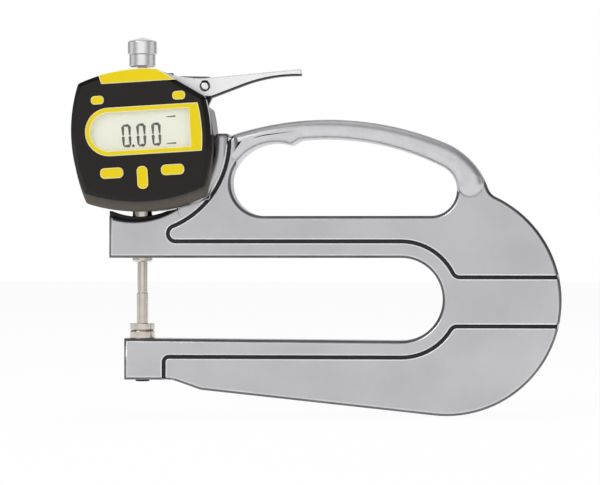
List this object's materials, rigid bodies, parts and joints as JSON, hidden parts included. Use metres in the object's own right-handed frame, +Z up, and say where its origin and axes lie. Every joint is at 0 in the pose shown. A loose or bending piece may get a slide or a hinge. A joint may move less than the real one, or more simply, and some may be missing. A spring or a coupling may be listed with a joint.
{
  "type": "digital thickness gauge",
  "caption": "Digital thickness gauge with a deep C-frame, carrying handle, flat anvil and contact discs, lifting lever and an electronic display head.",
  "frame": {"origin": "centre of the anvil's measuring face", "axes": "+Z up along the spindle, +X from the spindle to the back of the frame, +Y away from the display"},
  "size_m": [0.1934, 0.0266, 0.1503],
  "materials": {
    "frame_paint": "satin hammered grey",
    "steel": "ground",
    "dark_steel": "blackened",
    "bright_steel": "polished",
    "black_plastic": "satin face, gloss edges",
    "yellow_plastic": "satin",
    "clear_window": "clear",
    "display_glass": "satin",
    "green_board": "matt",
    "brass": "bare",
    "case_metal": "satin",
    "lever_metal": "polished"
  },
  "bodies": {
    "base": {"frame": "frame_paint", "anvil": "steel", "anvil_screw": "dark_steel", "stem": "steel", "stem_clamp_screw": "dark_steel", "front_cover": "black_plastic", "top_trim": "yellow_plastic", "display_frame": "yellow_plastic", "display_window": "clear_window", "lcd_panel": "display_glass", "circuit_board": "green_board", "key_domes": "brass", "case": "case_metal", "back_cover": "case_metal", "back_cover_screws": "dark_steel", "battery_cover": "black_plastic", "battery": "steel", "reader_head": "black_plastic", "guide_rail": "steel", "return_spring": "steel", "lever_pin": "bright_steel", "lever_bracket": "case_metal", "bracket_screws": "dark_steel"},
    "spindle": {"spindle": "steel", "contact_point": "steel", "lift_knob": "steel", "knob_cap": "bright_steel", "scale_carrier": "case_metal", "scale_strip": "display_glass"},
    "lever": {"lever": "lever_metal"},
    "button_top_left": {"button_top_left": "yellow_plastic"},
    "button_top_right": {"button_top_right": "yellow_plastic"},
    "button_bottom_left": {"button_bottom_left": "yellow_plastic"},
    "button_bottom_right": {"button_bottom_right": "yellow_plastic"},
    "button_bottom_middle": {"button_bottom_middle": "yellow_plastic"}
  },
  "joints": [
    {"name": "lever_hinge", "type": "hinge", "parent": "base", "child": "lever", "pos_m": [0.0254, 0, 0.0971], "axis": [0, 1, 0], "range_deg": [0, 25]},
    {"name": "spindle_slide", "type": "slide", "parent": "base", "child": "spindle", "axis": [0, 0, 1], "range_m": [0, 0.01], "stiffness_N_per_m": 30, "springref_m": -0.01, "deforming": ["return_spring"]},
    {"name": "button_top_left_press", "type": "slide", "parent": "base", "child": "button_top_left", "axis": [0, 1, 0], "range_m": [0, 0.0006], "stiffness_N_per_m": 300, "springref_m": -0.0008},
    {"name": "button_top_right_press", "type": "slide", "parent": "base", "child": "button_top_right", "axis": [0, 1, 0], "range_m": [0, 0.0006], "stiffness_N_per_m": 300, "springref_m": -0.0008},
    {"name": "button_bottom_left_press", "type": "slide", "parent": "base", "child": "button_bottom_left", "axis": [0, 1, 0], "range_m": [0, 0.0006], "stiffness_N_per_m": 300, "springref_m": -0.0008},
    {"name": "button_bottom_right_press", "type": "slide", "parent": "base", "child": "button_bottom_right", "axis": [0, 1, 0], "range_m": [0, 0.0006], "stiffness_N_per_m": 300, "springref_m": -0.0008},
    {"name": "button_bottom_middle_press", "type": "slide", "parent": "base", "child": "button_bottom_middle", "axis": [0, 1, 0], "range_m": [0, 0.0006], "stiffness_N_per_m": 300, "springref_m": -0.0008}
  ],
  "couplings": [
    {"joint": "lever_hinge", "follows": "spindle_slide", "rad_per_m": 43.6}
  ]
}
